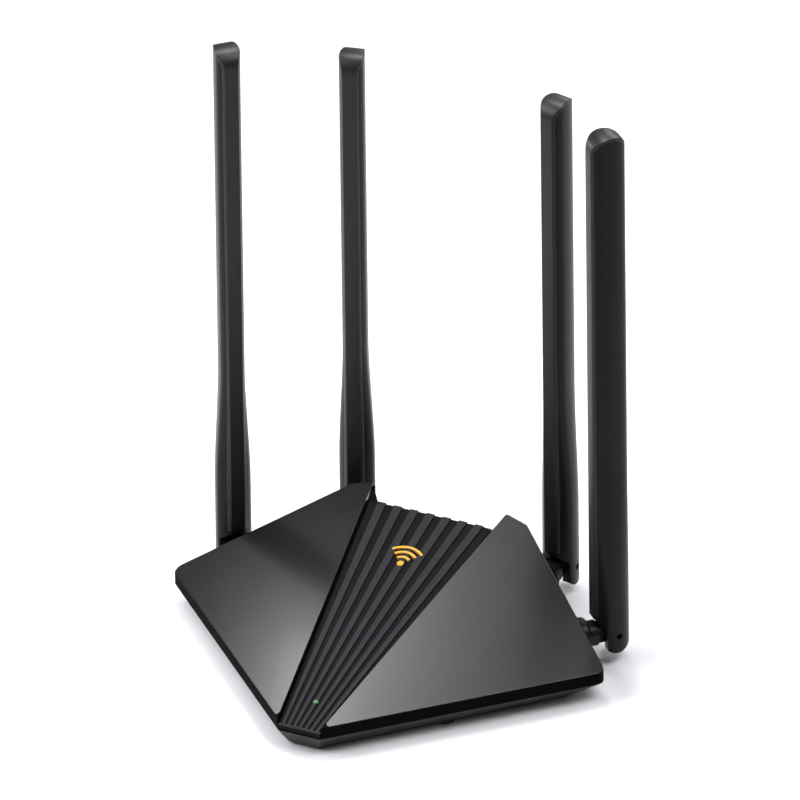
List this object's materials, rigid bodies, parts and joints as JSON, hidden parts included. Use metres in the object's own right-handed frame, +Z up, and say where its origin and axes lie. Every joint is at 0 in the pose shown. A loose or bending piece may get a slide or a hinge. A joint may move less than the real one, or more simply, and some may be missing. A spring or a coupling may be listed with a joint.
{
  "type": "wireless router",
  "caption": "Wedge-shaped home wireless router with glossy sloping top panels, a ribbed centre insert and folding, swivelling antennas on its rear walls.",
  "frame": {"origin": "centre of the outer box, on the table plane under the rubber feet", "axes": "+Z up, +Y from the front tip towards the rear ports, +X to the right seen from the front"},
  "size_m": [0.2056, 0.176, 0.2668],
  "materials": {
    "lower_case": "fine matte",
    "upper_case": "satin",
    "gloss_panel": "high gloss",
    "ribbed_insert": "matte",
    "amber_mark": "satin",
    "light_guide": "clear",
    "board": "solder mask",
    "lamp": "clear",
    "chip": "matte",
    "pad": "soft",
    "fins": "extruded",
    "tin": "tinned",
    "can": "sleeved",
    "gold": "plated",
    "black_plastic": "matte",
    "foot_rubber": "matte",
    "screw_steel": "zinc",
    "label_film": "matte",
    "knuckle_plastic": "satin",
    "blade_plastic": "satin",
    "strip_plastic": "matte",
    "copper": "copper on laminate",
    "cable_jacket": "matte"
  },
  "bodies": {
    "housing": {"bottom_housing": "lower_case", "top_housing": "upper_case", "left_panel": "gloss_panel", "right_panel": "gloss_panel", "centre_insert": "ribbed_insert", "emblem": "amber_mark", "light_pipe": "light_guide", "circuit_board": "board", "status_led": "lamp", "processor": "chip", "thermal_pad": "pad", "heatsink": "fins", "memory_chip": "chip", "flash_chip": "chip", "crystal": "tin", "switch_chip": "chip", "radio_chips": "chip", "radio_shields": "tin", "line_transformers": "black_plastic", "capacitors": "can", "inductor": "black_plastic", "wan_jack": "tin", "lan_jack_1": "tin", "lan_jack_2": "tin", "jack_contacts": "gold", "dc_jack": "black_plastic", "dc_pin": "tin", "tact_switch": "tin", "rubber_feet": "foot_rubber", "housing_screws": "screw_steel", "blank_label": "label_film", "coax_leads": "cable_jacket"},
    "button": {"button_cap": "black_plastic"},
    "swivel_1": {"knuckle_1": "knuckle_plastic", "clip_1": "screw_steel"},
    "antenna_1": {"blade_1": "blade_plastic", "strip_1": "strip_plastic", "radiator_1": "copper", "hinge_pin_1": "screw_steel"},
    "swivel_2": {"knuckle_2": "knuckle_plastic", "clip_2": "screw_steel"},
    "antenna_2": {"blade_2": "blade_plastic", "strip_2": "strip_plastic", "radiator_2": "copper", "hinge_pin_2": "screw_steel"},
    "swivel_3": {"knuckle_3": "knuckle_plastic", "clip_3": "screw_steel"},
    "antenna_3": {"blade_3": "blade_plastic", "strip_3": "strip_plastic", "radiator_3": "copper", "hinge_pin_3": "screw_steel"},
    "swivel_4": {"knuckle_4": "knuckle_plastic", "clip_4": "screw_steel"},
    "antenna_4": {"blade_4": "blade_plastic", "strip_4": "strip_plastic", "radiator_4": "copper", "hinge_pin_4": "screw_steel"}
  },
  "joints": [
    {"name": "swivel_1_turn", "type": "hinge", "parent": "housing", "child": "swivel_1", "pos_m": [-0.09215, 0.0397, 0.0138], "axis": [0.6896, -0.7242, 0], "range_deg": [-8, 90]},
    {"name": "antenna_1_fold", "type": "hinge", "parent": "swivel_1", "child": "antenna_1", "pos_m": [-0.09215, 0.0397, 0.0138], "axis": [-0.7242, -0.6896, 0], "range_deg": [0, 90]},
    {"name": "swivel_2_turn", "type": "hinge", "parent": "housing", "child": "swivel_2", "pos_m": [-0.04939, 0.08122, 0.0138], "axis": [0.2147, -0.9767, 0], "range_deg": [-10, 90]},
    {"name": "antenna_2_fold", "type": "hinge", "parent": "swivel_2", "child": "antenna_2", "pos_m": [-0.04939, 0.08122, 0.0138], "axis": [-0.9767, -0.2147, 0], "range_deg": [0, 90]},
    {"name": "swivel_3_turn", "type": "hinge", "parent": "housing", "child": "swivel_3", "pos_m": [0.04939, 0.08122, 0.0138], "axis": [0.2147, 0.9767, 0], "range_deg": [-10, 90]},
    {"name": "antenna_3_fold", "type": "hinge", "parent": "swivel_3", "child": "antenna_3", "pos_m": [0.04939, 0.08122, 0.0138], "axis": [-0.9767, 0.2147, 0], "range_deg": [0, 90]},
    {"name": "swivel_4_turn", "type": "hinge", "parent": "housing", "child": "swivel_4", "pos_m": [0.09215, 0.0397, 0.0138], "axis": [0.6896, 0.7242, 0], "range_deg": [-8, 90]},
    {"name": "antenna_4_fold", "type": "hinge", "parent": "swivel_4", "child": "antenna_4", "pos_m": [0.09215, 0.0397, 0.0138], "axis": [-0.7242, 0.6896, 0], "range_deg": [0, 90]},
    {"name": "button_press", "type": "slide", "parent": "housing", "child": "button", "axis": [0, -1, 0], "range_m": [0, 0.0008], "stiffness_N_per_m": 400}
  ]
}
